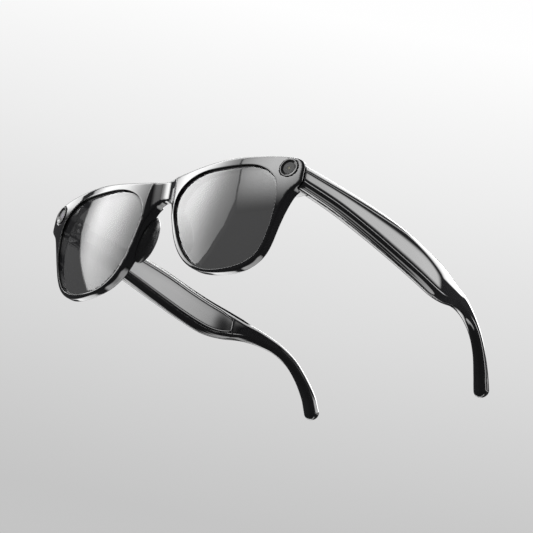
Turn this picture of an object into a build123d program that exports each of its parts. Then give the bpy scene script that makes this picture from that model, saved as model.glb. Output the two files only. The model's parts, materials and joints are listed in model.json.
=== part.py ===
from build123d import *
import os
from math import radians

# Smart glasses: sunglasses with a camera, a capture light, speakers and a touch temple.
# Millimetres. While drawing, x = 0 is the middle (+X the wearer's left), y runs back from the brow
# and z = 0 is the temples' top line. write() then puts the origin at the box's bottom centre.
ORIGIN = Vector(0, 78.12, -42.74)

# Lenses: a spherical base curve, wrapped round the face and leaning in at the bottom
LENS_X, LENS_Z = 36.0, -20.25
BASE_Y = 2.25
BASE_RADIUS = 136.0
WRAP, LEAN = 4.5, 5.95
LENS_THICKNESS = 2.0
LENS_DEPTH = 0.25
GROOVE = 0.8
FIT = 0.05

# Front frame: deeper at the nose and the brow than at the bottom of the rims
FACE_PROUD = 0.8
FRAME_BACK = 3.9
BACK_TURN, BACK_LEAN = 1.2, 2.9
BUTT_Y = 9.4
BRIDGE_BACK_Y = 7.4
SCOOP_RADIUS, SCOOP_LEAN = 15.4, 3.0
SCOOP_Y = 3.4

# Cable channel in the back of the brow
CHANNEL_DROP, CHANNEL_HEIGHT = 0.9, 1.3
CHANNEL_END_X = 62.6
CHANNEL_DEPTH, FLEX_DEPTH, COVER_DEPTH = 2.5, 2.6, 3.2
FLEX_THICKNESS = 0.25

# Camera and light, in wells in the end-pieces
WINDOW_X, WINDOW_Z = 65.8, -2.2
WELL_RADIUS, WELL_DEPTH = 3.0, 4.2
RING_RADIUS, RING_BORE = 3.75, 2.5
RING_DEPTH, RING_PROUD = 0.8, 0.3
BOARD_SIDE, BOARD_THICKNESS = 4.0, 0.5

# Hinges: a vertical screw behind each end-piece
HINGE_X, HINGE_Y = 63.3, 18.2
KNUCKLE_RADIUS = 1.55
PIN_RADIUS, PIN_BORE = 0.55, 0.6
HINGE_TOP, HINGE_BOTTOM = -2.2, -7.8
MIDDLE_KNUCKLE = (-5.95, -4.05)
KNUCKLE_GAP = 0.1
LUG_X = (62.7, 69.0)
LUG_BACK_Y = 16.5
JOINT_GAP = 0.25
LEAF_SCREW_RADIUS, LEAF_HEAD_RADIUS = 0.45, 0.8

# Temples: y, middle z, turn down in degrees, height, outer x, width and corner radius of each section
TEMPLE_SECTIONS = [
    (BUTT_Y + JOINT_GAP, -4.8, 0, 9.6, 72.7, 7.6, 1.9),
    (30.0, -5.4, 0, 10.8, 73.3, 7.8, 2.1),
    (50.0, -6.5, 0, 13.0, 72.9, 7.6, 2.3),
    (69.0, -8.2, 0, 15.0, 72.2, 7.1, 2.4),
    (84.0, -10.2, 0, 15.3, 71.3, 6.9, 2.5),
    (96.0, -11.6, 0, 15.0, 69.7, 6.7, 2.6),
    (105.0, -11.8, 0, 12.9, 67.4, 6.3, 2.6),
    (113.5, -11.5, 2, 9.3, 64.7, 5.7, 2.5),
    (122.0, -11.9, 10, 6.9, 61.6, 5.2, 2.4),
    (131.0, -13.8, 24, 5.4, 58.3, 5.0, 2.3),
    (138.5, -17.5, 40, 4.8, 55.9, 5.0, 2.2),
    (144.5, -23.0, 50, 4.8, 54.2, 5.4, 2.2),
    (149.3, -29.6, 58, 5.4, 52.9, 6.2, 2.5),
    (151.6, -34.2, 63, 5.7, 52.4, 6.5, 2.6),
    (153.6, -38.8, 66, 5.8, 52.0, 6.6, 2.7),
]
TIP_ROUND = 1.5
COVER_THICKNESS, COVER_GAP = 1.2, 0.08
OUTER_WALL, LEDGE = 1.3, 0.8
COVER_OUTLINE = [(28.5, -1.8), (52, -1.8), (69, -2.5), (84, -4.3), (98, -6.4), (107.5, -8.2), (107.5, -13.5),
                 (103, -16.0), (96, -17.0), (84, -16.0), (69, -13.8), (50, -11.1), (28.5, -8.9)]
COVER_CORNER = 1.6

# Nose pads: half an egg, leaning out towards its lower end
PAD_RADIUS, PAD_HALF_LENGTH = 4.0, 10.0
PAD_CENTRE = (10.6, 8.3, -21.0)
PAD_LEAN = 21.0

# Capture button, on top of the right temple
BUTTON_X, BUTTON_Y = 69.4, 37.0


def base_point(x, z, depth=0.0):
    """The point of the left lens's base surface in front of (x, z), moved back by depth."""
    dx, dz = x - LENS_X, z - LENS_Z
    y = BASE_Y + radians(WRAP) * dx - radians(LEAN) * dz + (dx * dx + dz * dz) / (2 * BASE_RADIUS)
    return Vector(x, y + depth, z)


def base_ball(depth, turn=0.0, lean=0.0):
    """A ball whose front skin is the base surface moved back by depth, and turned or leant if asked."""
    inward = Vector(-radians(WRAP - turn), 1, radians(LEAN - lean)).normalized()
    radius = BASE_RADIUS - depth
    return Pos(*(base_point(LENS_X, LENS_Z, depth) + inward * radius)) * Sphere(radius)


def base_shell(front, back):
    return base_ball(front) - base_ball(back)


def frame_back_ball():
    return base_ball(FRAME_BACK, BACK_TURN, BACK_LEAN)


def prism_y(face, reach=40.0):
    """A face drawn in x and z, made a prism along y."""
    return extrude(Plane.XZ * face, amount=reach, both=True)


def block(x, y, z):
    """A box from three (low, high) pairs."""
    low, high = zip(x, y, z)
    size = [b - a for a, b in zip(low, high)]
    middle = [(a + b) / 2 for a, b in zip(low, high)]
    return Pos(*middle) * Box(*size)


def upright(x, y, z_low, z_high, radius):
    """A vertical cylinder."""
    return Pos(x, y, (z_low + z_high) / 2) * Cylinder(radius, z_high - z_low)


def other_side(shape):
    return mirror(shape, about=Plane.YZ)


def write(name, *shapes):
    """One STEP file for one node, moved to the part's origin."""
    solids = [Pos(*-ORIGIN) * s for shape in shapes for s in shape.solids()]
    node = solids[0] if len(solids) == 1 else Compound(children=solids)
    export_step(node, f"parts/{name}.step")


# ---------------------------------------------------------------- front frame

def lens_opening(grow=0.0):
    """The left rim's visible opening, or that outline grown all round."""
    points = [(62.5, -14.5), (61.3, -7.6), (57.3, -3.0), (51.0, -0.1), (43.0, 0.75), (33.0, 0.8), (24.2, 0.35),
              (16.6, -1.9), (10.9, -6.6), (9.4, -12.3), (11.5, -20.4), (15.0, -28.2), (20.6, -35.4),
              (28.5, -40.1), (38.2, -41.4), (47.8, -40.4), (55.6, -36.6), (59.9, -29.2)]
    outline = Spline(*points, periodic=True)
    if grow:
        steps = [i / 36 for i in range(36)]
        outwards = [(outline % t).cross(Vector(0, 0, 1)) * grow for t in steps]
        sign = 1 if (outline @ 0 + outwards[0]).X > (outline @ 0).X else -1
        outline = Spline(*[outline @ t + sign * out for t, out in zip(steps, outwards)], periodic=True)
    return make_face(outline)


def frame_outline():
    """The left half of the front, seen square on."""
    top = Spline((0, 1.2), (7.6, 1.5), (20.8, 2.8), (36.8, 4.2), (51.6, 3.8), (65.2, 2.6), (69.0, 1.8),
                 tangents=[(1, 0), (1, -0.3)])
    corner = ThreePointArc((69.0, 1.8), (71.2, 0.2), (72.1, -2.6))
    side = Line((72.1, -2.6), (72.0, -7.8))
    lower = Spline((72.0, -7.8), (70.6, -9.7), (68.2, -12.0), (66.4, -15.2), (64.3, -20.6),
                   (61.8, -28.3), (58.0, -36.4), (49.0, -41.9), (39.0, -42.7), (27.0, -40.8),
                   (18.0, -35.5), (11.2, -25.0), (6.6, -12.2), (3.6, -8.2), (0, -7.0),
                   tangents=[(-0.3, -1), (-1, 0)])
    middle = Line((0, -7.0), (0, 1.2))
    return make_face(Wire([top, corner, side, lower, middle]))


def hinge_lug():
    """The block behind the end-piece that carries the hinge, flaring down into the rim."""
    top = Line((7.5, 1.4), (LUG_BACK_Y, -0.8))
    rear = Line((LUG_BACK_Y, -0.8), (LUG_BACK_Y, -10.1))
    flare = Spline((LUG_BACK_Y, -10.1), (13.6, -11.6), (11.0, -16.0), tangents=[(-1, 0), (-0.2, -1)])
    under = Line((11.0, -16.0), (7.5, -16.0))
    front = Line((7.5, -16.0), (7.5, 1.4))
    face = make_face(Plane.YZ * Wire([top, rear, flare, under, front]))
    lug = Pos(LUG_X[0], 0, 0) * extrude(face, amount=LUG_X[1] - LUG_X[0])
    return lug & prism_y(frame_outline())


def brow_band(inset=0.0):
    """The cable channel's outline along the brow, or that outline drawn in all round."""
    high = CHANNEL_DROP + inset
    low = CHANNEL_DROP + CHANNEL_HEIGHT - inset
    brow = [(0, 1.2), (7.6, 1.5), (20.8, 2.8), (36.8, 4.2), (51.6, 3.8), (CHANNEL_END_X - inset, 2.9)]
    upper = Spline(*[(x, z - high) for x, z in brow], tangents=[(1, 0), (1, -0.15)])
    lower = Spline(*[(x, z - low) for x, z in brow], tangents=[(1, 0), (1, -0.15)])
    ends = [Line(upper @ 0, lower @ 0), Line(upper @ 1, lower @ 1)]
    return make_face(Wire([upper, lower] + ends))


def window_plane(depth=0.0):
    """The left window's plane on the front face, facing out, moved in by depth."""
    step = 0.5
    along = base_point(WINDOW_X + step, WINDOW_Z) - base_point(WINDOW_X - step, WINDOW_Z)
    up = base_point(WINDOW_X, WINDOW_Z + step) - base_point(WINDOW_X, WINDOW_Z - step)
    outward = along.cross(up).normalized()
    face = Plane(origin=base_point(WINDOW_X, WINDOW_Z, -FACE_PROUD), x_dir=along, z_dir=outward)
    return face.offset(-depth)


def window_disc(radius, depth, thickness, bore=0.0):
    """A disc or a ring in the window's well, from depth inwards."""
    profile = Circle(radius) - Circle(bore) if bore else Circle(radius)
    return extrude(window_plane(depth + thickness) * profile, amount=thickness)


def leaf_tongue():
    """The part of the front hinge leaf that sits inside the lug."""
    return block((62.7, 65.3), (12.2, LUG_BACK_Y), (HINGE_BOTTOM, HINGE_TOP))


def contact_block(inset=0.0):
    return block((-3 + inset, 3 - inset), (6.3, BRIDGE_BACK_Y), (-5.6 + inset, -3 - inset))


def microphone_block(inset=0.0):
    return block((3.9 + inset, 6.3 - inset), (6.2, BRIDGE_BACK_Y), (-5.5 + inset, -3.2 - inset))


def front_half():
    """The left half of the moulding, without what only one side has."""
    half = prism_y(frame_outline()) & (base_ball(-FACE_PROUD) - frame_back_ball())
    half -= block((LUG_X[1], 90), (BUTT_Y, 40), (-10.4, 20))
    half += hinge_lug()
    half -= prism_y(lens_opening())
    half -= prism_y(lens_opening(GROOVE)) & base_shell(LENS_DEPTH - FIT, LENS_DEPTH + LENS_THICKNESS + FIT)
    half -= prism_y(brow_band()) & base_shell(CHANNEL_DEPTH, 12)
    half -= window_disc(WELL_RADIUS, 0, WELL_DEPTH)
    half -= window_disc(RING_RADIUS, 0, RING_DEPTH)
    half -= block((61.9, 64.6), (8.7, 9.7), (-0.6, 1.2))
    half -= block((67.2, 68.0), (8.0, 20), (-8.6, -6.4))
    return half - leaf_tongue() - front_leaf_screws(FIT)


def front_frame():
    half = front_half()
    frame = half + other_side(half)
    frame -= Pos(0, SCOOP_Y - SCOOP_RADIUS, 0) * Rot(-SCOOP_LEAN, 0, 0) * Cylinder(SCOOP_RADIUS, 40)
    frame -= block((-9, 9), (BRIDGE_BACK_Y, 20), (-8, 8))
    return frame - contact_block() - microphone_block() - status_light(0.0)


def lens():
    outline = lens_opening(GROOVE - FIT)
    return prism_y(outline) & base_shell(LENS_DEPTH, LENS_DEPTH + LENS_THICKNESS)


def brow_cover():
    half = prism_y(brow_band(0.06)) & (base_ball(COVER_DEPTH) - frame_back_ball())
    return half + other_side(half) - block((-9, 9), (BRIDGE_BACK_Y, 20), (-8, 8))


def front_flex():
    half = prism_y(brow_band(0.15)) & base_shell(FLEX_DEPTH, FLEX_DEPTH + FLEX_THICKNESS)
    return half + other_side(half)


def nose_pad(side):
    """A soft pad that swells from the rim's nasal wall; side is 1 on the wearer's left, -1 on the right."""
    bow = EllipticalCenterArc((0, 0), PAD_RADIUS, PAD_HALF_LENGTH, start_angle=-90, arc_size=180)
    egg = revolve(Plane.XZ * make_face(Wire([bow, Line(bow @ 0, bow @ 1)])), Axis.Z)
    x, y, z = PAD_CENTRE
    pad = Pos(side * x, y, z) * Rot(0, -side * PAD_LEAN, 90 - 90 * side) * egg
    opening = prism_y(lens_opening(GROOVE + 0.3))
    wall = prism_y(frame_outline()) & (base_ball(-FACE_PROUD) - frame_back_ball())
    for tool in (opening, wall):
        pad -= tool if side > 0 else other_side(tool)
    return max(pad.solids(), key=lambda s: s.volume)


def status_light(gap):
    """The small light on the inner side of the right lug, at the edge of the wearer's view."""
    return Pos(-LUG_X[0] - 0.6, 13.5, -9.2) * Rot(0, 90, 0) * Cylinder(0.5 - gap, 1.2)


def charging_contacts():
    """Two gilt pads on the back of the bridge."""
    return [Pos(x, BRIDGE_BACK_Y - 0.35, -4.3) * Rot(90, 0, 0) * Cylinder(0.8, 0.7) for x in (-1.6, 1.6)]


def nose_microphone():
    port = Pos(5.1, BRIDGE_BACK_Y, -4.35) * Rot(90, 0, 0) * Cylinder(0.25, 1.2)
    return microphone_block(FIT) - port


# ---------------------------------------------------------------- camera and capture light

def trim_ring():
    """A ring with a dished face, standing just proud of the moulding."""
    ring = window_disc(RING_RADIUS - FIT, -RING_PROUD, RING_DEPTH + RING_PROUD, RING_BORE)
    dish = Cone(RING_BORE, RING_RADIUS - 0.35, 0.55)
    return ring - window_plane(0.275 - RING_PROUD) * dish


def camera_pieces():
    glass = window_disc(RING_BORE - FIT, 0.15, 0.4)
    gasket = window_disc(WELL_RADIUS - 0.1, 0.85, 0.25, 1.9)
    barrel = window_disc(2.3, 1.15, 2.1, 0.95) - window_disc(1.6, 1.15, 0.5)
    element = window_disc(0.9, 1.75, 0.9)
    board = window_block(BOARD_SIDE, 3.35, BOARD_THICKNESS)
    return {"camera_cover_glass": glass, "camera_gasket": gasket, "camera_barrel": barrel,
            "camera_lens_element": element, "camera_sensor_board": board}


def light_pieces():
    window = window_disc(RING_BORE - FIT, 0.15, 0.5)
    gasket = window_disc(WELL_RADIUS - 0.1, 0.85, 0.25, 1.9)
    guide = window_disc(2.0, 1.2, 1.6)
    board = window_block(BOARD_SIDE, 3.35, BOARD_THICKNESS)
    chip = window_block(1.6, 2.85, 0.5)
    return {"led_window": window, "led_gasket": gasket, "led_light_guide": guide,
            "led_board": board + chip}


def window_block(side, depth, thickness):
    return extrude(window_plane(depth + thickness) * Rectangle(side, side), amount=thickness)


# ---------------------------------------------------------------- hinges

def hinge_bore():
    return upright(HINGE_X, HINGE_Y, HINGE_BOTTOM - 1, HINGE_TOP + 1, PIN_BORE)


def front_leaf():
    """A tongue held in the lug, with a knuckle above and a knuckle below the temple's."""
    low, high = MIDDLE_KNUCKLE
    leaf = leaf_tongue()
    for z in ((HINGE_BOTTOM, low - KNUCKLE_GAP), (high + KNUCKLE_GAP, HINGE_TOP)):
        leaf += block((HINGE_X - 0.6, HINGE_X + 1.0), (LUG_BACK_Y - 1, HINGE_Y), z)
        leaf += upright(HINGE_X, HINGE_Y, *z, KNUCKLE_RADIUS)
    return leaf - hinge_bore() - front_leaf_screws(FIT)


def front_leaf_screws(grow=0.0):
    """Two screws through the tongue from the lug's inner side."""
    screws = Part()
    for z in (-3.6, -6.4):
        axis = Pos(62.7, 14.3, z) * Rot(0, 90, 0)
        screws += axis * Pos(0, 0, 1.6) * Cylinder(LEAF_SCREW_RADIUS + grow, 3.2)
        screws += axis * Pos(0, 0, 0.25) * Cylinder(LEAF_HEAD_RADIUS + grow, 0.5 + 2 * grow)
    return screws


def hinge_screw():
    shank = upright(HINGE_X, HINGE_Y, HINGE_BOTTOM - 0.3, HINGE_TOP, PIN_RADIUS)
    head = upright(HINGE_X, HINGE_Y, HINGE_TOP, HINGE_TOP + 0.8, 1.15)
    slot = block((HINGE_X - 2, HINGE_X + 2), (HINGE_Y - 0.15, HINGE_Y + 0.15), (HINGE_TOP + 0.45, 0))
    return shank + head - slot


def temple_leaf_plate():
    return block((60, 66.4), (17.0, 27.5), (HINGE_BOTTOM + 0.2, HINGE_TOP - 0.2))


def temple_leaf(temple):
    """A plate let into the temple's inner face, with the middle knuckle."""
    low, high = MIDDLE_KNUCKLE
    leaf = temple_leaf_plate() & temple
    leaf += block((HINGE_X, 66.0), (17.1, HINGE_Y + 1.2), (low, high))
    leaf += upright(HINGE_X, HINGE_Y, low, high, KNUCKLE_RADIUS)
    return leaf - hinge_bore() - temple_leaf_screws(FIT)


def temple_leaf_screws(grow=0.0):
    screws = Part()
    for y in (21.5, 25.5):
        axis = Pos(65.35, y, -5) * Rot(0, 90, 0)
        screws += axis * Pos(0, 0, 1.7) * Cylinder(LEAF_SCREW_RADIUS + grow, 3.4)
        screws += axis * Pos(0, 0, 0.25) * Cylinder(LEAF_HEAD_RADIUS + grow, 0.5 + 2 * grow)
    return screws


# ---------------------------------------------------------------- temples

def temple_rows():
    """The temple's sections, with two more between each pair on smooth curves."""
    rows = TEMPLE_SECTIONS
    smooth = []
    for i in range(len(rows) - 1):
        before, here, after, last = (rows[max(0, min(len(rows) - 1, i + k))] for k in (-1, 0, 1, 2))
        for t in (0, 1 / 3, 2 / 3):
            weights = (-t + 2 * t**2 - t**3, 2 - 5 * t**2 + 3 * t**3, t + 4 * t**2 - 3 * t**3, t**3 - t**2)
            columns = zip(before, here, after, last)
            smooth.append([sum(w * v for w, v in zip(weights, four)) / 2 for four in columns])
    return smooth + [rows[-1]]


def temple_solid():
    """The left temple's whole outer shape, from the butt joint to the ear tip."""
    sections = []
    for y, z, down, height, outer_x, width, corner in temple_rows():
        middle = Location((outer_x - width / 2, y, z), (-90 - down, 0, 0))
        sections.append(middle * RectangleRounded(width, height, corner))
    temple = loft(sections)
    tip = temple.faces().filter_by(GeomType.PLANE).sort_by(Axis.Z)[0]
    return fillet(tip.edges(), TIP_ROUND)


def plan_band(start, stop, inner=True):
    """Between two lines that follow the temple's inner or outer side in plan, as a vertical prism."""
    rows = [row for row in TEMPLE_SECTIONS if row[0] < 115]
    side = [(x - width if inner else x, y) for y, _, _, _, x, width, _ in rows]
    near = Spline(*[(x + start, y) for x, y in side])
    far = Spline(*[(x + stop, y) for x, y in side])
    face = make_face(Wire([near, far, Line(near @ 0, far @ 0), Line(near @ 1, far @ 1)]))
    return extrude(face, amount=30, both=True)


def cover_prism(grow=0.0):
    """The inner cover's outline, seen from the side, as a prism along x."""
    face = make_face(Plane.YZ * Polyline(*COVER_OUTLINE, close=True))
    face = fillet(face.vertices(), COVER_CORNER)
    if grow:
        face = offset(face, grow)
    return extrude(face, amount=90, dir=(1, 0, 0))


def inner_cover(temple):
    return temple & cover_prism(-COVER_GAP) & plan_band(-4, COVER_THICKNESS)


def temple_shell(temple):
    """The outer shell: the ear tip and the front end are solid, the middle is hollow."""
    shell = temple - (cover_prism() & plan_band(-4, COVER_THICKNESS + FIT))
    hollow = cover_prism(-LEDGE) & plan_band(COVER_THICKNESS, 20) & plan_band(-20, -OUTER_WALL, inner=False)
    shell -= hollow
    shell -= block((60, LUG_X[1] + 0.3), (0, LUG_BACK_Y + JOINT_GAP), (-30, 5))
    shell -= temple_leaf_plate() + temple_leaf_screws(FIT)
    shell -= block((66.9, 67.7), (15, 31), (-8.5, -6.3))
    shell -= speaker_slot()
    return shell - microphone_port()


def speaker_slot(inset=0.0, z=(-20.0, -15.0)):
    """A slot through the temple's lower wall, leaning with the wall."""
    slot = block((66.3 + inset, 68.3 - inset), (80 + inset, 92 - inset), z)
    return Pos(0, 86, -17) * Rot(-6.5, 0, 0) * Pos(0, -86, 17) * slot


def speaker_grille():
    """A slitted insert in the slot."""
    grille = speaker_slot(FIT, (-17.7, -16.7))
    for i in range(8):
        y = 81.2 + i * 1.37
        slit = block((66.7, 67.9), (y - 0.3, y + 0.3), (-20, -15))
        grille -= Pos(0, 86, -17) * Rot(-6.5, 0, 0) * Pos(0, -86, 17) * slit
    return grille


def speaker():
    """A flat oval driver with a round-cornered basket and a dished cone."""
    basket = extrude(Plane.YZ * Pos(85, -10.4) * RectangleRounded(15, 7.4, 2.4), amount=2.6)
    cone = extrude(Plane.YZ * Pos(85, -10.4) * RectangleRounded(12.4, 5, 1.8), amount=0.5)
    return Pos(66.3, 0, 0) * (basket - Pos(2.1, 0, 0) * cone)


def temple_microphone():
    body = block((67.6, 70.0), (32.0, 35.4), (-8.0, -7.1))
    return body - upright(68.8, 33.7, -9, -7.6, 0.3)


def microphone_port():
    return upright(68.8, 33.7, -14, -8.0, 0.3)


def temple_flex():
    """The flat cable against the outer wall."""
    strip = plan_band(-OUTER_WALL - 0.45, -OUTER_WALL - 0.25, inner=False)
    return strip & block((60, 80), (30, 76), (-8.0, -7.0))


# ---------------------------------------------------------------- left temple: battery and power switch

def battery():
    cell = block((66.8, 69.9), (45, 74), (-9.6, -4.2))
    cell = fillet(cell.edges().filter_by(Axis.Y), 1.2)
    return cell + block((67.8, 69.0), (43.6, 45), (-8.6, -5.2))


def battery_board():
    board = block((68.6, 69.2), (39.0, 43.2), (-8.8, -3.4))
    for z in (-8.0, -6.1, -4.6):
        board += block((67.9, 68.6), (39.8, 42.2), (z, z + 1.0))
    return board


def power_slot():
    return block((60, 67.5), (31.0, 36.0), (-6.4, -4.4))


def power_switch():
    """A thumb slider with a plate that keeps it in the slot."""
    neck = block((64.95, 67.3), (31.2, 33.8), (-6.2, -4.6))
    for y in (31.7, 32.5, 33.3):
        neck -= block((60, 65.15), (y - 0.15, y + 0.15), (-7, -4))
    plate = block((66.95, 67.4), (30.4, 34.6), (-6.9, -3.9))
    return neck + plate


def power_switch_base():
    return block((67.6, 68.5), (30.4, 37.6), (-6.9, -3.4))


# ---------------------------------------------------------------- right temple: board, touch film and button

def main_board():
    """A narrow board with its chips and two connectors."""
    board = block((69.3, 70.0), (44, 78), (-9.4, -5.2))
    for y, length, height in ((58.5, 5.0, 4.0), (65.0, 4.0, 3.4), (70.5, 3.0, 2.6)):
        board += block((68.4, 69.3), (y, y + length), (-7.3 - height / 2, -7.3 + height / 2))
    return board + block((70.0, 70.5), (46, 50), (-9.2, -5.8))


def shield_can():
    """A pressed steel lid over the processor."""
    lid = block((67.6, 69.3), (45, 57), (-9.2, -5.4))
    return lid - block((67.8, 69.4), (45.2, 56.8), (-9.0, -5.6))


def touch_film():
    film = plan_band(-OUTER_WALL - 0.2, -OUTER_WALL - 0.02, inner=False)
    return film & block((60, 80), (38, 80), (-6.6, -4.8))


def antenna():
    strip = plan_band(COVER_THICKNESS + 0.3, COVER_THICKNESS + 0.5)
    return strip & block((60, 80), (58, 76), (-8.2, -6.6))


def button_slot():
    return slot_block(11.0, 2.9, (-3.0, 2))


def slot_block(length, width, z):
    """An upright block with round ends, at the capture button."""
    low, high = z
    face = Pos(BUTTON_X, BUTTON_Y, low) * Rot(0, 0, 90) * SlotOverall(length, width)
    return extrude(face, amount=high - low)


def capture_button():
    cap = slot_block(10.6, 2.5, (-2.75, 0.25))
    return cap + slot_block(11.6, 3.3, (-3.15, -2.75))


def dome_switch():
    base = block((BUTTON_X - 1.6, BUTTON_X + 1.6), (BUTTON_Y - 5, BUTTON_Y + 5), (-4.7, -4.1))
    return base + Pos(BUTTON_X, BUTTON_Y, -3.9) * Cylinder(1.1, 0.4)


# ---------------------------------------------------------------- the assembly

os.makedirs("parts", exist_ok=True)

frame = front_frame()
write("front_frame", frame)
write("brow_cover", brow_cover())
write("front_flex", front_flex())
left_lens = lens()
write("lens_left", left_lens)
write("lens_right", other_side(left_lens))
write("nose_pad_left", nose_pad(1))
write("nose_pad_right", nose_pad(-1))
write("status_light_lens", status_light(FIT))
write("charging_insulator", contact_block(FIT) - charging_contacts())
write("charging_contacts", *charging_contacts())
write("nose_microphone", nose_microphone())

ring = trim_ring()
write("camera_trim_ring", ring)
write("led_trim_ring", other_side(ring))
for name, piece in camera_pieces().items():
    write(name, piece)
for name, piece in light_pieces().items():
    write(name, other_side(piece))

temple = temple_solid()
shell = temple_shell(temple)
cover = inner_cover(temple)
shared = {
    "temple_leaf": temple_leaf(temple),
    "speaker": speaker(),
    "speaker_grille": speaker_grille(),
    "temple_microphone": temple_microphone(),
    "temple_flex": temple_flex(),
}
write("front_leaf_screws", front_leaf_screws(), other_side(front_leaf_screws()))
for side, place in (("left", lambda shape: shape), ("right", other_side)):
    write(f"front_leaf_{side}", place(front_leaf()))
    write(f"hinge_screw_{side}", place(hinge_screw()))
    write(f"temple_leaf_screws_{side}", place(temple_leaf_screws()))
    for name, piece in shared.items():
        write(f"{name}_{side}", place(piece))

write("temple_shell_left", shell)
write("temple_cover_left", cover - power_slot())
write("battery", battery())
write("battery_board", battery_board())
write("power_switch", power_switch())
write("power_switch_base", power_switch_base())

write("temple_shell_right", other_side(shell - button_slot()))
write("temple_cover_right", other_side(cover))
for name, piece in (("main_board", main_board()), ("shield_can", shield_can()), ("touch_film", touch_film()),
                    ("antenna", antenna()), ("capture_button", capture_button()), ("dome_switch", dome_switch())):
    write(name, other_side(piece))
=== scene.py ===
import json
from math import atan2, cos, pi, radians, sin, sqrt

import bmesh
import bpy
import numpy as np
from mathutils import Matrix, Vector
from mathutils.geometry import delaunay_2d_cdt


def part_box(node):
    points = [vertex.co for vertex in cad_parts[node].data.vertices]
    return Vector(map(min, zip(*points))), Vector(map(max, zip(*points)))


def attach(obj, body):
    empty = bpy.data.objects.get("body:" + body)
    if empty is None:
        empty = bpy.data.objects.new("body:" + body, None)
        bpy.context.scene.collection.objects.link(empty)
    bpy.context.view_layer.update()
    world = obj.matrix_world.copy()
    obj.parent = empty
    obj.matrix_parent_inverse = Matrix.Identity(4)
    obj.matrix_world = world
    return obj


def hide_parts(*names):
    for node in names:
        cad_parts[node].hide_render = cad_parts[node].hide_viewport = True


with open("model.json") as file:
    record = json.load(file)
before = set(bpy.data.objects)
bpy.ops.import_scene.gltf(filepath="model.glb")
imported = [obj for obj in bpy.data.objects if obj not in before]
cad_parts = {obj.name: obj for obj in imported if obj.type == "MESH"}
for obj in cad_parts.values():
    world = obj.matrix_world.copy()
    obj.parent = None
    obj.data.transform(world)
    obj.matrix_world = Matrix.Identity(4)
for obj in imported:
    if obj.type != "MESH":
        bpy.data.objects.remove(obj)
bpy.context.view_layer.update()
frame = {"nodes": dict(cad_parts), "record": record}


# Tinted lenses
# Two spherical sunglass lenses, 2 mm of grey-tinted plastic cut to the rims' openings and snapped
# into a groove. Each is laid out here as its outline, its front and back skins and its cut edge.
DRAWING_ZERO = np.array([0.0, -78.12, 42.74])
LENS_CENTRE = (36.0, -20.25)
LENS_OPENING = [(62.5, -14.5), (61.3, -7.6), (57.3, -3.0), (51.0, -0.1), (43.0, 0.75), (33.0, 0.8),
                (24.2, 0.35), (16.6, -1.9), (10.9, -6.6), (9.4, -12.3), (11.5, -20.4), (15.0, -28.2),
                (20.6, -35.4), (28.5, -40.1), (38.2, -41.4), (47.8, -40.4), (55.6, -36.6), (59.9, -29.2)]


def fair_curve(points, closed=False, ends=None, step=0.5):
    """Evenly spaced points on a smooth curve through the given ones."""
    p = np.array(points, float)
    if closed:
        p = np.vstack([p, p[:1]])
    h = np.linalg.norm(np.diff(p, axis=0), axis=1)
    n = len(p)
    a, b = np.zeros((n, n)), np.zeros((n, 2))
    for i in range(n):
        if i in (0, n - 1) and not closed:
            a[i, i] = 1
            b[i] = ends[0] if i == 0 else ends[1]
            continue
        if i == n - 1:
            a[i, i], a[i, 0] = 1, -1
            continue
        h0, h1 = h[i - 1], h[i]
        left = p[-2] if i == 0 else p[i - 1]
        a[i, n - 2 if i == 0 else i - 1] += 1 / h0
        a[i, i] += 2 / h0 + 2 / h1
        a[i, i + 1] += 1 / h1
        b[i] = 3 * ((p[i] - left) / h0**2 + (p[i + 1] - p[i]) / h1**2)
    m = np.linalg.solve(a, b)
    t = np.linspace(0, 1, 60, endpoint=False)[:, None]
    dense = [p[i] * (1 + 2 * t) * (1 - t)**2 + h[i] * m[i] * t * (1 - t)**2
             + p[i + 1] * t**2 * (3 - 2 * t) + h[i] * m[i + 1] * t**2 * (t - 1) for i in range(n - 1)]
    return even(np.vstack(dense + [p[-1:]]), closed, step)


def even(points, closed, step):
    """The same line with its points evenly spaced."""
    gone = np.concatenate([[0], np.cumsum(np.linalg.norm(np.diff(points, axis=0), axis=1))])
    count = max(4, int(round(gone[-1] / step)))
    at = np.linspace(0, gone[-1], count, endpoint=False) if closed else np.linspace(0, gone[-1], count + 1)
    return np.column_stack([np.interp(at, gone, points[:, k]) for k in (0, 1)])


def grown(ring, by):
    """A closed line moved outwards by a distance."""
    along = np.roll(ring, -1, 0) - np.roll(ring, 1, 0)
    normal = np.column_stack([along[:, 1], -along[:, 0]])
    normal /= np.linalg.norm(normal, axis=1)[:, None]
    area = np.sum(ring[:, 0] * np.roll(ring[:, 1], -1) - np.roll(ring[:, 0], -1) * ring[:, 1])
    return ring + normal * by * (1 if area > 0 else -1)


def within(points, ring):
    """Which points lie inside a closed line."""
    x, z = points[:, :1], points[:, 1:]
    x0, z0 = ring[:, 0], ring[:, 1]
    x1, z1 = np.roll(x0, -1), np.roll(z0, -1)
    rise = np.where(z1 == z0, 1e-12, z1 - z0)
    crosses = ((z0 > z) != (z1 > z)) & (x < x0 + (z - z0) / rise * (x1 - x0))
    return crosses.sum(1) % 2 == 1


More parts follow.
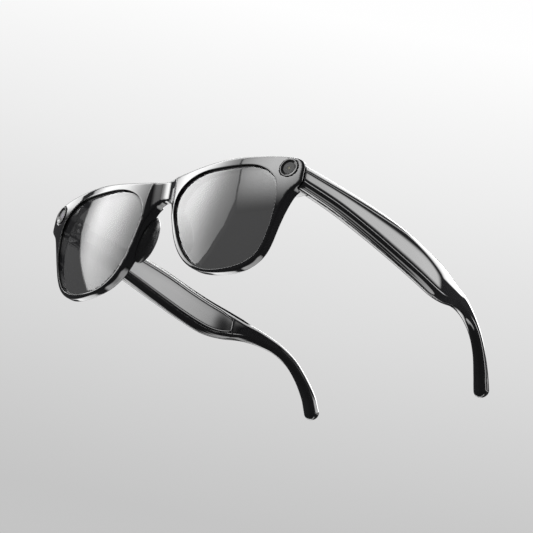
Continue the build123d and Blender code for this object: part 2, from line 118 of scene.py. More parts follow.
def skin_between(outer, holes, spacing):
    """Triangles that fill a closed line, round its holes, with evenly spaced points inside."""
    lines = [outer] + holes
    low, high = outer.min(0), outer.max(0)
    columns = np.arange(low[0], high[0], spacing)
    rows = np.arange(low[1], high[1], spacing * 0.87)
    lattice = np.array([(x + spacing * 0.5 * (j % 2), z) for j, z in enumerate(rows) for x in columns])
    keep = within(lattice, grown(outer, -spacing * 0.6))
    for hole in holes:
        keep &= ~within(lattice, grown(hole, spacing * 0.6))
    points = np.vstack(lines + [lattice[keep]])
    edges, start = [], 0
    for line in lines:
        count = len(line)
        edges += [(start + i, start + (i + 1) % count) for i in range(count)]
        start += count
    made = delaunay_2d_cdt([Vector(p) for p in points], edges, [], 0, 1e-7)
    flat = np.array([tuple(v) for v in made[0]])
    faces = np.array([f for f in made[2] if len(f) == 3])
    middle = flat[faces].mean(1)
    keep = within(middle, outer)
    for hole in holes:
        keep &= ~within(middle, hole)
    return flat, faces[keep]


class Piece:
    """A mesh put together from skins and strips, in the drawing's millimetres."""

    def __init__(self):
        self.points, self.faces, self.count = [], [], 0

    def add(self, points, faces):
        self.points.append(np.array(points, float))
        self.faces += [tuple(int(i) + self.count for i in f) for f in faces]
        self.count += len(points)

    def skin(self, outer, holes, spacing, depth):
        flat, faces = skin_between(outer, holes, spacing)
        self.add(np.column_stack([flat[:, 0], depth(flat[:, 0], flat[:, 1]), flat[:, 1]]), faces)

    def strips(self, rings):
        """Joins closed rings of equal count, one after the other."""
        n = len(rings[0])
        faces = [(k * n + i, k * n + (i + 1) % n, (k + 1) * n + (i + 1) % n, (k + 1) * n + i)
                 for k in range(len(rings) - 1) for i in range(n)]
        self.add(np.vstack(rings), faces)

    def finish(self, name, material, body, slot, *nodes):
        mesh = bpy.data.meshes.new(name)
        points = (np.vstack(self.points) + DRAWING_ZERO) / 1000
        mesh.from_pydata(points.tolist(), [], self.faces)
        piece = bpy.data.objects.new(name, mesh)
        bpy.context.scene.collection.objects.link(piece)
        work = bmesh.new()
        work.from_mesh(mesh)
        bmesh.ops.remove_doubles(work, verts=work.verts, dist=2e-7)
        bmesh.ops.recalc_face_normals(work, faces=work.faces)
        work.to_mesh(mesh)
        work.free()
        mesh.shade_smooth()
        mesh.materials.append(material)
        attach(piece, body)
        if nodes:
            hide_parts(*nodes)
        return piece


class Socket:
    """A node's output that takes part in sums."""

    def __init__(self, graph, link):
        self.graph, self.link = graph, link

    def math(self, operation, *others, swap=False):
        values = (*others, self) if swap else (self, *others)
        return self.graph.add("ShaderNodeMath", {"operation": operation}, dict(enumerate(values)))

    def __add__(self, other):
        return self.math("ADD", other)

    def __radd__(self, other):
        return self.math("ADD", other)

    def __sub__(self, other):
        return self.math("SUBTRACT", other)

    def __rsub__(self, other):
        return self.math("SUBTRACT", other, swap=True)

    def __mul__(self, other):
        return self.math("MULTIPLY", other)

    def __rmul__(self, other):
        return self.math("MULTIPLY", other)



class Finish:
    """One material: its Principled shader, and a way to add nodes."""

    def __init__(self, name, **fixed):
        self.material = bpy.data.materials.new(name)
        self.material.use_nodes = True
        self.tree = self.material.node_tree
        self.shader = self.tree.nodes["Principled BSDF"]
        for key, value in fixed.items():
            self.shader.inputs[key.replace("_", " ")].default_value = value
        self.place = self.add("ShaderNodeTexCoord", out="Object")

    def add(self, kind, settings=None, inputs=None, out=0):
        node = self.tree.nodes.new(kind)
        for key, value in (settings or {}).items():
            if key == "stops":
                for i, (at, colour) in enumerate(value):
                    stop = node.color_ramp.elements[i] if i < 2 else node.color_ramp.elements.new(at)
                    stop.position, stop.color = at, (*colour, 1)
            else:
                setattr(node, key, value)
        for key, value in (inputs or {}).items():
            if isinstance(value, Socket):
                self.tree.links.new(value.link, node.inputs[key])
            else:
                node.inputs[key].default_value = value
        return Socket(self, node.outputs[out])

    def noise(self, scale, detail=3.0):
        values = {"Vector": self.place, "Scale": scale, "Detail": detail}
        return self.add("ShaderNodeTexNoise", {}, values)

    def feed(self, name, value):
        self.tree.links.new(value.link, self.shader.inputs[name])

    def between(self, share, low, high):
        ramp = {"stops": [(0.0, low), (1.0, high)]}
        return self.add("ShaderNodeValToRGB", ramp, {"Fac": share}, out="Color")

    def bump(self, height, strength, distance):
        values = {"Height": height, "Strength": strength, "Distance": distance}
        self.feed("Normal", self.add("ShaderNodeBump", {}, values, out="Normal"))


def lens_tint():
    """Dark grey sunglass plastic with a hard coat: it lets about a fifteenth of the light through."""
    finish = Finish("lens_tint", IOR=1.5)
    haze = finish.noise(18.0, 2.0)
    finish.feed("Base Color", finish.between(haze, (0.004, 0.004, 0.0045), (0.006, 0.006, 0.0065)))
    finish.feed("Roughness", haze * 0.02)
    finish.feed("Alpha", haze * 0.04 + 0.72)
    return finish.material


def base_y(x, z):
    """The base surface that the lenses and the rims' faces follow, mirrored about the middle."""
    dx, dz = np.abs(x) - LENS_CENTRE[0], z - LENS_CENTRE[1]
    return 2.25 + radians(4.5) * dx - radians(5.95) * dz + (dx * dx + dz * dz) / 272


opening_left = fair_curve(LENS_OPENING, closed=True)
opening_right = opening_left * (-1, 1)
tint = lens_tint()
# Matte black for a ring round each lens: painted shadow, standing in for the shade in the gap between rim and
# lens.
painted_shadow_finish = Finish("painted_shadow_black", Specular_IOR_Level=0.1)
painted_shadow_grain = painted_shadow_finish.noise(500.0, 2.0)
painted_shadow_finish.feed("Base Color", painted_shadow_finish.between(painted_shadow_grain, (0.002, 0.002, 0.002), (0.004, 0.004, 0.004)))
painted_shadow_finish.feed("Roughness", painted_shadow_grain * 0.2 + 0.5)
painted_shadow_black = painted_shadow_finish.material
for side, opening in (("left", opening_left), ("right", opening_right)):
    lens = Piece()
    edge = grown(opening, 0.74)
    front, back = grown(opening, -0.45), grown(opening, 0.6)
    lens.skin(front, [], 1.0, lambda x, z: base_y(x, z) + 0.25)
    lens.skin(back, [], 1.0, lambda x, z: base_y(x, z) + 2.25)
    depths = ((front, 0.25), (grown(opening, -0.3), 0.3), (opening, 0.62),
              (edge, 0.95), (edge, 2.05), (back, 2.25))
    lens.strips([np.column_stack([r[:, 0], base_y(r[:, 0], r[:, 1]) + d, r[:, 1]]) for r, d in depths])
    lens.finish("tinted_lens_" + side, tint, "front", "lens_tint", "lens_" + side)
    # Painted shadow: a matte black ring on the lens face round each opening, put where the gap between rim
    # and lens is in shade.
    painted_shadow_ring = Piece()
    depths = ((-0.4, 0.24), (-0.36, 0.16), (0.1, 0.1), (0.1, 0.4), (-0.3, 0.4), (-0.4, 0.24))
    lines = [(grown(opening, out), depth) for out, depth in depths]
    painted_shadow_ring.strips([np.column_stack([r[:, 0], base_y(r[:, 0], r[:, 1]) + d, r[:, 1]]) for r, d in lines])
    painted_shadow_ring.finish("lens_painted_shadow_ring_" + side, painted_shadow_black, "front", "rubber_black")


# Front frame
# One moulding of gloss black plastic, tumbled and polished, so that every edge is softly rounded.
# Its face is domed like the lenses, and it is deepest at the bridge and at the end-pieces.
def gloss_black(name):
    finish = Finish(name, IOR=1.5)
    drift = finish.noise(35.0, 2.0)
    handled = finish.noise(240.0, 3.0)
    finish.feed("Base Color", finish.between(drift, (0.0045, 0.0045, 0.005), (0.0075, 0.0075, 0.008)))
    finish.feed("Roughness", drift * 0.03 + handled * 0.02 + 0.02)
    finish.bump(handled, 0.02, 0.0001)
    return finish.material


def smooth_step(value, low, high):
    t = np.clip((value - low) / (high - low), 0, 1)
    return t * t * (3 - 2 * t)


def face_y(x, z):
    """The front's face: the dome, and a shallow saddle across the bridge."""
    dome = base_y(x, z) - 0.81
    saddle = 3.4 - 15.4 + np.sqrt(np.maximum(15.4**2 - x * x, 0)) - radians(3.0) * z
    return np.where(np.abs(x) < 12, np.maximum(dome, saddle), dome)


def back_y(x, z):
    """The front's back: less domed, flat behind the bridge, and cut square behind the end-pieces."""
    dx, dz = np.abs(x) - LENS_CENTRE[0], z - LENS_CENTRE[1]
    dome = 6.15 + radians(3.3) * dx - radians(3.05) * dz + (dx * dx + dz * dz) / 264.2
    flat = np.minimum(dome, np.where((np.abs(x) < 9) & (z > -8.4), 7.3, 99))
    butt = smooth_step(np.abs(x), 68.4, 69.0) * smooth_step(z, -10.9, -10.3)
    return flat + butt * (9.35 - flat)


def half_outline():
    """The front's right half as seen square on, from the top of the bridge round to its underside."""
    top = fair_curve([(0, 1.2), (7.6, 1.5), (20.8, 2.8), (36.8, 4.2), (51.6, 3.8), (65.2, 2.6), (69.0, 1.8)],
                     ends=((1, 0), (0.958, -0.287)), step=0.2)
    corner = fair_curve([(69.0, 1.8), (71.2, 0.2), (72.1, -2.6)], ends=((0.9, -0.43), (0.1, -0.99)), step=0.2)
    lower = fair_curve([(72.0, -7.8), (70.6, -9.7), (68.2, -12.0), (66.4, -15.2), (64.3, -20.6),
                        (61.8, -28.3), (58.0, -36.4), (49.0, -41.9), (39.0, -42.7), (27.0, -40.8),
                        (18.0, -35.5), (11.2, -25.0), (6.6, -12.2), (3.6, -8.2), (0, -7.0)],
                       ends=((-0.287, -0.958), (-1, 0)), step=0.2)
    return np.vstack([top[:-1], corner, lower])


def soft_edges(piece, ring, face, back, front_round, back_round, inward):
    """The wall along a closed line, rounded into the face and into the back. inward is -1 or 1."""
    rows = []
    for k in range(7):
        turn = pi / 2 * k / 6
        r = grown(ring, inward * front_round * (1 - sin(turn)))
        rows.append((r, face(r[:, 0], r[:, 1]) + front_round * (1 - cos(turn))))
    for k in range(7):
        turn = pi / 2 * (1 - k / 6)
        r = grown(ring, inward * back_round * (1 - sin(turn)))
        rows.append((r, back(r[:, 0], r[:, 1]) - back_round * (1 - cos(turn))))
    first, second = rows[6], rows[7]
    middle = [(ring, first[1] * (1 - s) + second[1] * s) for s in (0.25, 0.5, 0.75)]
    rows[7:7] = middle
    piece.strips([np.column_stack([r[:, 0], y, r[:, 1]]) for r, y in rows])
    return rows[0][0], rows[-1][0]


half = half_outline()
whole = np.vstack([half, (half * (-1, 1))[::-1][1:-1]])
outline = even(np.vstack([whole, whole[:1]]), True, 0.45)
front = Piece()
face_edge, back_edge = soft_edges(front, outline, face_y, back_y, 0.75, 0.6, -1)
openings = [soft_edges(front, ring, face_y, back_y, 0.14, 0.5, 1) for ring in (opening_left, opening_right)]
WINDOW_X, WINDOW_Z = 65.8, -2.2
WELL_RADIUS, WELL_FLOOR = 3.72, 3.6
wells = []
angles = np.linspace(0, 2 * pi, 72, endpoint=False)
for side in (1, -1):
    circle = np.column_stack([side * WINDOW_X + WELL_RADIUS * np.cos(angles),
                              WINDOW_Z + WELL_RADIUS * np.sin(angles)])
    wells.append(circle)
    floor = np.full(len(circle), float(base_y(np.array(WINDOW_X), np.array(WINDOW_Z))) + WELL_FLOOR)
    mouth = np.column_stack([circle[:, 0], face_y(circle[:, 0], circle[:, 1]), circle[:, 1]])
    bottom = np.column_stack([circle[:, 0], floor, circle[:, 1]])
    front.strips([mouth, bottom])
    front.skin(circle, [], 1.2, lambda x, z: np.full(len(x), floor[0]))
front.skin(face_edge, [pair[0] for pair in openings] + wells, 0.55, face_y)
front.skin(back_edge, [pair[1] for pair in openings], 0.7, back_y)


def rounded_box(piece, low, high, radius, steps=4):
    """A block with rounded edges, as three-way rounded corners pushed apart."""
    low, high = np.array(low, float), np.array(high, float)
    n = 2 * steps + 2
    points, faces = [], []
    for axis in range(3):
        for sign in (-1, 1):
            start = len(points)
            for i in range(n):
                for j in range(n):
                    uv = []
                    for k in (i, j):
                        a = (k / steps - 1) * pi / 4 if k <= steps else ((k - steps - 1) / steps) * pi / 4
                        uv.append((np.tan(a), 0 if k <= steps else 1))
                    d = np.zeros(3)
                    others = [a for a in range(3) if a != axis]
                    d[axis] = sign
                    d[others[0]], d[others[1]] = uv[0][0], uv[1][0]
                    d /= np.linalg.norm(d)
                    anchor = np.zeros(3)
                    anchor[axis] = (sign + 1) / 2
                    anchor[others[0]], anchor[others[1]] = uv[0][1], uv[1][1]
                    points.append(low + radius + anchor * (high - low - 2 * radius) + d * radius)
            faces += [(start + i * n + j, start + (i + 1) * n + j, start + (i + 1) * n + j + 1,
                       start + i * n + j + 1) for i in range(n - 1) for j in range(n - 1)]
    piece.add(points, faces)


for side in (1, -1):
    x = sorted((side * 62.76, side * 69.0))
    rounded_box(front, (x[0], 8.0, -10.2), (x[1], 16.5, -0.55), 0.7)
black = gloss_black("gloss_black_front")
front.finish("front_moulding", black, "front", "frame_gloss_black", "front_frame")


# Brow cover
# A narrow strip of the same plastic glued over the cable channel in the back of the brow.
# It stands a hair proud, with softened edges.
brow = [(0, 1.2), (7.6, 1.5), (20.8, 2.8), (36.8, 4.2), (51.6, 3.8), (62.5, 2.9)]
upper = fair_curve([(x, z - 0.96) for x, z in brow], ends=((1, 0), (0.989, -0.148)), step=0.5)
lower = fair_curve([(x, z - 2.14) for x, z in brow], ends=((1, 0), (0.989, -0.148)), step=0.5)
strip = even(np.vstack([upper, lower[::-1], (lower * (-1, 1))[1:], (upper * (-1, 1))[::-1]]), True, 0.35)
cover = Piece()
inner = grown(strip, -0.12)
rows = ((strip, -0.6), (strip, 0.02), (grown(strip, -0.04), 0.09), (inner, 0.12))
cover.strips([np.column_stack([r[:, 0], back_y(r[:, 0], r[:, 1]) + d, r[:, 1]]) for r, d in rows])
cover.skin(inner, [], 0.6, lambda x, z: back_y(x, z) + 0.12)
cover.skin(strip, [], 0.6, lambda x, z: back_y(x, z) - 0.6)
cover.finish("brow_strip", black, "front", "inner_gloss_black", "brow_cover")


# Nose pads
# Two soft pads of the same black, moulded with the rims' nasal walls and splayed at the bottom.
# Each is half an egg, fuller at its lower end and flattened where the nose bears on it.
PAD_RADIUS, PAD_HALF_LENGTH, PAD_LEAN = 4.0, 10.0, 21.0
PAD_PLACE = (10.6, 8.3, -21.0)


def nose_pad(side):
    around, along = 48, 40
    rings = []
    for i in range(along + 1):
        v = pi * i / along
        swell = 1 + 0.1 * cos(v)
        ring = []
        for k in range(around):
            u = 2 * pi * k / around
            flat = 0.9 if cos(u) < 0 else 1.0
            reach = PAD_RADIUS * sin(v) * swell
            ring.append((reach * cos(u) * flat, reach * sin(u), -PAD_HALF_LENGTH * cos(v)))
        rings.append(np.array(ring))
    lean = radians(PAD_LEAN)
    turn = np.array([[cos(lean), 0, -sin(lean)], [0, 1, 0], [sin(lean), 0, cos(lean)]])
    pad = Piece()
    pad.strips([(ring @ turn.T + PAD_PLACE) * (side, 1, 1) for ring in rings])
    return pad


soft_black = Finish("soft_black", IOR=1.45)
skin_grain = soft_black.noise(900.0, 2.0)
soft_black.feed("Base Color", soft_black.between(skin_grain, (0.006, 0.006, 0.0065), (0.011, 0.011, 0.0115)))
soft_black.feed("Roughness", skin_grain * 0.08 + 0.24)
soft_black.bump(skin_grain, 0.05, 0.00005)
for name, side in (("left", 1), ("right", -1)):
    pad = nose_pad(side)
    pad.finish("nose_rest_" + name, soft_black.material, "front", "nose_pad_black", "nose_pad_" + name)


# Temples
# Two hollow mouldings of gloss black plastic that hold the electronics, thin at the hinge, deep in
# the middle, and turned down behind the ear. A plate glued into the inner side closes each one.
TEMPLE_SECTIONS = [
    (9.65, -4.8, 0, 9.6, 72.7, 7.6, 1.9), (30.0, -5.4, 0, 10.8, 73.3, 7.8, 2.1),
    (50.0, -6.5, 0, 13.0, 72.9, 7.6, 2.3), (69.0, -8.2, 0, 15.0, 72.2, 7.1, 2.4),
    (84.0, -10.2, 0, 15.3, 71.3, 6.9, 2.5), (96.0, -11.6, 0, 15.0, 69.7, 6.7, 2.6),
    (105.0, -11.8, 0, 12.9, 67.4, 6.3, 2.6), (113.5, -11.5, 2, 9.3, 64.7, 5.7, 2.5),
    (122.0, -11.9, 10, 6.9, 61.6, 5.2, 2.4), (131.0, -13.8, 24, 5.4, 58.3, 5.0, 2.3),
    (138.5, -17.5, 40, 4.8, 55.9, 5.0, 2.2), (144.5, -23.0, 50, 4.8, 54.2, 5.4, 2.2),
    (149.3, -29.6, 58, 5.4, 52.9, 6.2, 2.5), (151.6, -34.2, 63, 5.7, 52.4, 6.5, 2.6),
    (153.6, -38.8, 66, 5.8, 52.0, 6.6, 2.7)]


def temple_row(at):
    """The section at a place along the temple, counted in rows of the list."""
    i = min(int(at), len(TEMPLE_SECTIONS) - 2)
    t = at - i
    four = [np.array(TEMPLE_SECTIONS[max(0, min(len(TEMPLE_SECTIONS) - 1, i + k))]) for k in (-1, 0, 1, 2)]
    weights = (-t + 2 * t**2 - t**3, 2 - 5 * t**2 + 3 * t**3, t + 4 * t**2 - 3 * t**3, t**3 - t**2)
    return sum(w * v for w, v in zip(weights, four)) / 2


def row_at(y):
    """The section at a distance back from the brow."""
    low, high = 0.0, float(len(TEMPLE_SECTIONS) - 1)
    for _ in range(40):
        middle = (low + high) / 2
        low, high = (middle, high) if temple_row(middle)[0] < y else (low, middle)
    return temple_row(low)


# How far the skin falls away above and below, by (outer side, upper half).
CROWN = {(True, True): 1.8, (True, False): 0.7, (False, True): 0.7, (False, False): 0.4}


def section(row, notch_x=None, inset=0.0, recess=0.0, cover_half=None, shave=0.0):
    """One closed ring of the temple's skin. Fixed columns of points bound the inner plate's seat."""
    y, z, down, height, outer_x, width, corner = row
    inner = outer_x - width
    h, w = height / 2 - inset, width / 2 - inset
    c = max(corner - inset * 0.7, 0.15)
    half = height / 2 - 1.8 if cover_half is None else cover_half
    half = min(half, h - 0.1)

    def inner_side(v):
        over = max(abs(v) - (h - c), 0)
        return -w + c - sqrt(max(c * c - over * over, 0))

    ring = []
    for s in np.linspace(-1, 1, 15):
        ring.append((inner_side(s * half) + recess, s * half))
    if half < h - c:
        for s in np.linspace(0, 1, 4)[0:3]:
            v = half + 0.02 + (h - c - half - 0.02) * s
            ring.append((inner_side(v), v))
        start = 0.0
    else:
        start = atan2(half + 0.02 - (h - c), sqrt(max(c * c - (half + 0.02 - (h - c))**2, 1e-9)))
        for s in (0, 0.02, 0.04):
            a = start + (pi / 2 - start) * s
            ring.append((-w + c - c * cos(a), h - c + c * sin(a)))
        start += (pi / 2 - start) * 0.06
    for s in np.linspace(0, 1, 10):
        a = start + (pi / 2 - start) * s
        ring.append((-w + c - c * cos(a), h - c + c * sin(a)))
    for s in np.linspace(0, 1, 6)[1:-1]:
        ring.append((-w + c + (2 * w - 2 * c) * s, h))
    for s in np.linspace(0, 1, 11):
        a = pi / 2 * (1 - s)
        ring.append((w - c + c * cos(a), h - c + c * sin(a)))
    for s in np.linspace(0, 1, 14)[1:-1]:
        ring.append((w, (h - c) * (1 - 2 * s)))
    for s in np.linspace(0, 1, 11):
        a = -pi / 2 * s
        ring.append((w - c + c * cos(a), -h + c + c * sin(a)))
    for s in np.linspace(0, 1, 6)[1:-1]:
        ring.append((w - c - (2 * w - 2 * c) * s, -h))
    mirrored = [(x, -v) for x, v in ring[15:28]]
    ring += mirrored[::-1]
    turn = radians(down)
    middle = (outer_x + inner) / 2
    deep = smooth_step(height, 6.5, 10.0)
    crowned = []
    for x, v in ring:
        cut = shave if x < -w + 1 else 0
        outwards = 1 if x > 0 else -1
        crowned.append((x + cut - outwards * deep * CROWN[x > 0, v < 0] * (v / h)**2, v))
    points = np.array([(middle + x, y - v * sin(turn), z - v * cos(turn)) for x, v in crowned])
    if notch_x is not None:
        points[:, 0] = np.maximum(points[:, 0], notch_x)
    return points


def cap(piece, ring, bulge, direction, steps=7):
    """Closes an end with a rounded skin that shrinks to a point."""
    centre = ring.mean(0)
    rings = [ring]
    for k in range(1, steps + 1):
        a = pi / 2 * k / steps
        rings.append(centre + (ring - centre) * max(cos(a), 0.0) + np.array(direction) * bulge * sin(a))
    piece.strips(rings)


COVER_START, COVER_END = 28.6, 107.3


def cover_half_at(y, grow=0.0):
    """Half the cover's height, with its rounded ends."""
    row = row_at(y)
    half = row[3] / 2 - 1.85 - 1.1 * smooth_step(y, 100, 107.5) + grow
    corner = 1.6
    for d in (y - COVER_START + grow, COVER_END - y + grow):
        if d < corner:
            d = max(d, 0)
            half -= corner - sqrt(max(corner**2 - (corner - d)**2, 0))
    return half


def temple_skin(side):
    """The shell's whole skin, from the butt joint to the ear tip."""
    rings = []
    lug_back = 16.75
    front_row = row_at(9.66)
    rings.append(section(front_row, notch_x=69.45, inset=0.22))
    for y, inset in ((9.69, 0.1), (9.76, 0.03), (9.9, 0.0), (12.0, 0.0), (14.5, 0.0),
                     (16.5, 0.0), (16.74, 0.0)):
        rings.append(section(row_at(y), notch_x=69.35, inset=inset))
    rings[0][:, 1] = 9.66
    for y, shave in ((lug_back, 0.4), (16.85, 0.15), (17.05, 0.07)):
        rings.append(section(row_at(y), shave=shave))
    for y in list(np.arange(18.0, 28.0, 1.5)) + [28.4]:
        rings.append(section(row_at(y), shave=0.07))
    ends = COVER_START - 0.08, COVER_END + 0.08
    near = [0, 0.001, 0.1, 0.25, 0.5, 0.9, 1.4, 2.0]
    places = [ends[0] + d for d in near]
    places += list(np.arange(32, 105, 1.3))
    places += [ends[1] - d for d in near[::-1]]
    for k, y in enumerate(places):
        recess = 0.0 if k in (0, len(places) - 1) else 0.9
        rings.append(section(row_at(y), recess=recess, cover_half=cover_half_at(y, 0.08)))
    low = 0.0
    while temple_row(low)[0] < ends[1] + 0.4:
        low += 0.01
    for at in np.linspace(low, len(TEMPLE_SECTIONS) - 1.6, 90):
        rings.append(section(temple_row(at)))
    skin = Piece()
    down = radians(66)
    skin.strips([r * (side, 1, 1) for r in rings])
    tail = rings[-1]
    cap(skin, tail * (side, 1, 1), 3.0, (0, cos(down), -sin(down)), 12)
    cap(skin, rings[0] * (side, 1, 1), 0.0, (0, -1, 0))
    return skin


def cover_plate(side):
    """The inner side's plate, edges softened."""
    plate = Piece()
    rings = []
    near = [0.0, 0.04, 0.12, 0.25, 0.5, 0.9, 1.4, 2.0]
    places = [COVER_START + d for d in near]
    places += list(np.arange(32, 105, 1.3))
    places += [COVER_END - d for d in near[::-1]]
    for y in places:
        row = row_at(y)
        half = cover_half_at(y)
        drop_end = max(0.0, 0.2 - min(y - COVER_START, COVER_END - y)) * 0.7
        top, bottom = [], []
        flat = section(row, cover_half=half)[:15]
        for k, p in enumerate(flat):
            edge = 0.14 if k in (0, 14) else 0.0
            top.append(p + (max(edge, drop_end), 0, 0))
            bottom.append(p + (0.85, 0, 0))
        lip = [top[0] + (0.12, 0, 0), top[-1] + (0.12, 0, 0)]
        ring = top + [lip[1]] + bottom[::-1] + [lip[0]]
        rings.append(np.array(ring) * (side, 1, 1))
    plate.strips(rings)
    cap(plate, rings[0], 0.0, (0, -1, 0), 2)
    cap(plate, rings[-1], 0.0, (0, 1, 0), 2)
    return plate


shell_black = gloss_black("gloss_black_temples")
for name, side in (("left", 1), ("right", -1)):
    body = "temple_" + name
    temple_skin(side).finish("temple_moulding_" + name, shell_black, body,
                             "frame_gloss_black", "temple_shell_" + name)
    cover_plate(side).finish("inner_plate_" + name, shell_black, body,
                             "inner_gloss_black", "temple_cover_" + name)


# Small parts that keep their made shape
# Rings, glass, hinge leaves, screws, contacts and the electronics inside. Each takes the finish of
# its material: anodised rings, coated glass, dark plated steel, gilt, amber film, board and foil.
def plain_finish(name, low, high, roughness, metallic=0.0, scale=300.0, **fixed):
    finish = Finish(name, Metallic=metallic, **fixed)
    grain = finish.noise(scale, 4.0)
    finish.feed("Base Color", finish.between(grain, low, high))
    finish.feed("Roughness", grain * 0.12 + (roughness - 0.06))
    finish.bump(grain, 0.08, 0.00005)
    return finish.material


def grey(v, tint=(1, 1, 1)):
    return tuple(v * t for t in tint)


SMALL_FINISHES = {
    "ring_black": plain_finish("ring_black", grey(0.006), grey(0.012), 0.2, Specular_IOR_Level=0.4),
    "camera_glass": plain_finish("camera_glass", (0.004, 0.005, 0.004), (0.008, 0.009, 0.008), 0.08,
                                 scale=60.0, Specular_IOR_Level=0.12, Alpha=0.6),
    "barrel_black": plain_finish("barrel_black", grey(0.01), grey(0.02), 0.5),
    "rubber_black": plain_finish("rubber_black", grey(0.02), grey(0.03), 0.7),
    "led_frosted": plain_finish("led_frosted", (0.035, 0.03, 0.045), (0.06, 0.05, 0.07), 0.3,
                                Specular_IOR_Level=0.12),
    "circuit_board": plain_finish("circuit_board", (0.01, 0.08, 0.03), (0.02, 0.14, 0.05), 0.4),
    "flex_amber": plain_finish("flex_amber", (0.35, 0.15, 0.03), (0.5, 0.25, 0.06), 0.35),
    "hinge_steel": plain_finish("hinge_steel", grey(0.035), grey(0.06), 0.36, 1.0, 900.0),
    "screw_steel": plain_finish("screw_steel", grey(0.12), grey(0.2), 0.3, 1.0, 900.0),
    "gilt_contact": plain_finish("gilt_contact", (0.7, 0.45, 0.15), (0.85, 0.6, 0.25), 0.2, 1.0),
    "insulator_black": plain_finish("insulator_black", grey(0.015), grey(0.03), 0.45),
    "battery_wrap": plain_finish("battery_wrap", grey(0.3), grey(0.42), 0.4, 0.5),
    "speaker_black": plain_finish("speaker_black", grey(0.02), grey(0.04), 0.5),
    "grille_steel": plain_finish("grille_steel", grey(0.03), grey(0.06), 0.35, 1.0, 900.0),
    "shield_tin": plain_finish("shield_tin", grey(0.5), grey(0.7), 0.3, 1.0, 600.0),
    "button_black": plain_finish("button_black", grey(0.006), grey(0.01), 0.12)}


def eye(name, node, stops, gloss):
    """What shows through a small round window: rings of tone about its middle."""
    low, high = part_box(node)
    middle = (low + high) / 2
    finish = Finish(name, Roughness=0.08, Specular_IOR_Level=gloss)
    gap = finish.add("ShaderNodeVectorMath", {"operation": "DISTANCE"},
                     {0: finish.place, 1: middle}, out="Value")
    wave = finish.noise(1500.0, 2.0) * 0.00008
    tone = finish.add("ShaderNodeValToRGB", {"stops": stops}, {"Fac": (gap + wave) * 400.0}, out="Color")
    finish.feed("Base Color", tone)
    return finish.material


camera_eye = eye("camera_eye", "camera_cover_glass",
                 [(0.0, (0.11, 0.105, 0.06)), (0.17, (0.09, 0.085, 0.05)), (0.27, (0.004, 0.004, 0.003)),
                  (0.5, (0.003, 0.003, 0.003)), (0.56, (0.035, 0.035, 0.033)),
                  (0.62, (0.004, 0.004, 0.004))], 0.1)
light_eye = eye("light_eye", "led_window",
                [(0.0, (0.075, 0.065, 0.09)), (0.4, (0.06, 0.05, 0.07)), (0.62, (0.012, 0.011, 0.014)),
                 (0.8, (0.003, 0.003, 0.003))], 0.12)
EYES = {"camera_cover_glass": camera_eye, "led_window": light_eye}
for part in frame["record"]["subparts"]:
    node = frame["nodes"][part["node"]]
    finish = EYES.get(part["node"]) or SMALL_FINISHES.get(part["material_slot"])
    if finish and not node.hide_render:
        node.data.materials.clear()
        node.data.materials.append(finish)


# Studio
# A pale sweep behind and below the glasses, and soft boxes where the polished plastic mirrors them.
def sweep():
    """A floor that curves up into a wall all round. Its material paints a glowing grey that falls off towards
    the floor, as painted light.
    """
    rings = []
    around = np.linspace(0, 2 * pi, 64, endpoint=False)
    for radius, height in ((0.0, -0.9), (1.0, -0.9), (2.2, -0.9), (3.0, -0.75), (3.5, -0.3),
                           (3.7, 0.4), (3.75, 2.4)):
        rings.append([(radius * cos(a), radius * sin(a), height) for a in around])
    points = [p for ring in rings for p in ring]
    faces = [(k * 64 + i, (k + 1) * 64 + i, (k + 1) * 64 + (i + 1) % 64, k * 64 + (i + 1) % 64)
             for k in range(len(rings) - 1) for i in range(64)]
    mesh = bpy.data.meshes.new("studio_sweep")
    mesh.from_pydata(points, [], faces)
    mesh.shade_smooth()
    made = bpy.data.objects.new("studio_sweep", mesh)
    bpy.context.scene.collection.objects.link(made)
    return made


backdrop = sweep()
# The sweep is not lit: it glows, and its grey is painted light that gets brighter up the wall and darker
# towards the floor.
painted_glow = Finish("studio_painted_glow", Roughness=1.0, Specular_IOR_Level=0.0)
painted_glow.shader.inputs["Base Color"].default_value = (0.0, 0.0, 0.0, 1.0)
height = painted_glow.add("ShaderNodeSeparateXYZ", {}, {"Vector": painted_glow.place}, out="Z")
tones = [(0.0, 0.50), (1.021, 0.558), (1.111, 0.591), (1.248, 0.651), (1.388, 0.716), (1.531, 0.776),
         (1.677, 0.850), (1.825, 0.918), (1.976, 0.995)]
glow = painted_glow.add("ShaderNodeValToRGB", {"stops": [(at / 2.0, grey(tone)) for at, tone in tones]},
                 {"Fac": height * 0.5}, out="Color")
painted_glow.feed("Emission Color", glow)
painted_glow.shader.inputs["Emission Strength"].default_value = 1.0
backdrop.data.materials.append(painted_glow.material)
backdrop.visible_glossy = False

world = bpy.data.worlds.new("studio")
world.use_nodes = True
world.node_tree.nodes["Background"].inputs["Color"].default_value = (0.10, 0.10, 0.104, 1)
bpy.context.scene.world = world
bpy.context.scene.view_settings.view_transform = "Standard"


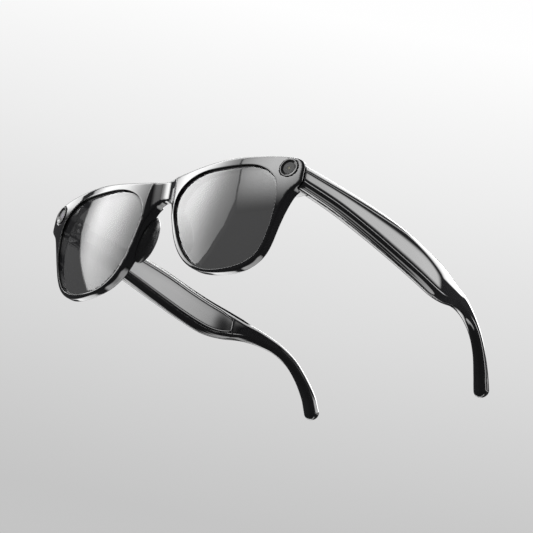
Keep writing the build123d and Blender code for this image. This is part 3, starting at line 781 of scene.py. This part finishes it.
def soft_box(name, tones, low, high, feather, left=None, right=None, rise_tones=(1, 1)):
    """A curved panel round the glasses, lit more or less from place to place.

    low and high are its azimuth and height in degrees; tones are brightness from low to high azimuth;
    feather is how softly the left, right, lower and upper edges fade. left and right are curved
    sides, as (height, azimuth) pairs, and rise_tones is the brightness from the bottom to the top.
    """
    across, up, distance = 90, 70, 2.0
    points, light = [], []
    for j in range(up + 1):
        rise = low[1] + (high[1] - low[1]) * j / up
        start = float(np.interp(rise, *zip(*left))) if left else low[0]
        stop = float(np.interp(rise, *zip(*right))) if right else high[0]
        for i in range(across + 1):
            turn = start + (stop - start) * i / across
            a, e = radians(turn), radians(rise)
            points.append((distance * cos(a) * cos(e), distance * sin(a) * cos(e), distance * sin(e) + 0.02))
            fade = float(np.interp(j / up, np.linspace(0, 1, len(rise_tones)), rise_tones))
            for gap, soft in ((turn - start, feather[0]), (stop - turn, feather[1]),
                              (rise - low[1], feather[2]), (high[1] - rise, feather[3])):
                fade *= float(smooth_step(gap, 0, soft)) if soft else 1.0
            share = (turn - low[0]) / (high[0] - low[0])
            light.append(fade * float(np.interp(share, np.linspace(0, 1, len(tones)), tones)))
    faces = [(j * (across + 1) + i, j * (across + 1) + i + 1, (j + 1) * (across + 1) + i + 1,
              (j + 1) * (across + 1) + i) for j in range(up) for i in range(across)]
    mesh = bpy.data.meshes.new(name)
    mesh.from_pydata(points, [], faces)
    level = mesh.attributes.new("level", "FLOAT", "POINT")
    level.data.foreach_set("value", light)
    panel = Finish(name, Roughness=1.0, Specular_IOR_Level=0.0)
    panel.shader.inputs["Base Color"].default_value = (0.0, 0.0, 0.0, 1.0)
    shine = panel.add("ShaderNodeAttribute", {"attribute_name": "level"}, out="Fac")
    panel.feed("Emission Color", panel.between(shine, grey(0.0), grey(1.0)))
    panel.shader.inputs["Emission Strength"].default_value = 13.0
    mesh.materials.append(panel.material)
    box = bpy.data.objects.new(name, mesh)
    bpy.context.scene.collection.objects.link(box)
    box.visible_camera = False
    box.visible_shadow = False


soft_box("front_box", (0.25, 0.5, 0.85, 1.1, 1.15, 1.1, 0.98, 0.76, 0.52, 0.36, 0.27, 0.2),
         (-157, -5), (-119.5, 70), (1.0, 0.3, 3, 10),
         left=((-5, -141), (0, -144.5), (3.3, -146.7), (6.6, -149.2), (11.7, -153), (17.5, -156.3),
               (22, -157), (70, -157)),
         right=((-5, -139), (0, -136), (2.1, -132.5), (4.7, -127.6), (10.4, -122), (17.1, -119.8),
                (22.9, -121.3), (27.4, -123.4), (70, -124)),
         rise_tones=(0.45, 0.62, 0.95, 1, 1, 1, 1))
soft_box("brow_box", (0.34, 0.6, 0.78, 0.8, 0.5, 0.3), (-123, 13), (-88, 62), (0.6, 12, 14, 10),
         left=((13, -118), (17.1, -119.6), (22.9, -121.1), (27.4, -123.2), (62, -123.8)))
soft_box("far_box", (0.5, 0.45, 0.4), (-181, 21.5), (-163, 60), (6, 0.6, 2, 10))
soft_box("side_box", (0.2, 0.5, 0.6, 0.55, 0.4), (14, 13), (66, 36), (10, 6, 3, 7),
         rise_tones=(1.15, 1.05, 0.7))
soft_box("side_line", (0.35, 0.35), (25, 40), (80, 42.5), (10, 10, 0.8, 0.8))
soft_box("side_rim_box", (0.6, 0.6), (-10, 46), (110, 88), (15, 15, 5, 1), rise_tones=(1, 0.7, 0.4, 0.2))
soft_box("rear_box", (0.5, 0.7, 0.6, 0.4), (68, 23), (150, 45), (6, 10, 2.5, 3))
soft_box("side_low_box", (0.6, 0.6), (10, 1), (75, 8), (8, 8, 2, 2))
soft_box("floor_box", (0.35, 0.4, 0.3), (48, -60), (128, -40), (10, 8, 8, 4))
soft_box("under_box", (0.3, 0.35), (118, -36), (165, -9), (8, 10, 6, 6))

camera_data = bpy.data.cameras.new("camera")
camera_data.lens, camera_data.sensor_width = 209.39, 36.0
camera_data.clip_start, camera_data.clip_end = 0.05, 20.0
camera = bpy.data.objects.new("camera", camera_data)
right, up, back = (0.71156, 0.67747, 0.18633), (0.12904, -0.38668, 0.91314), (0.69067, -0.62571, -0.36257)
place = (0.88218, -0.81244, -0.43033)
rows = [(right[i], up[i], back[i], place[i]) for i in range(3)]
camera.matrix_world = Matrix(rows + [(0, 0, 0, 1)])
bpy.context.scene.collection.objects.link(camera)
bpy.context.scene.camera = camera
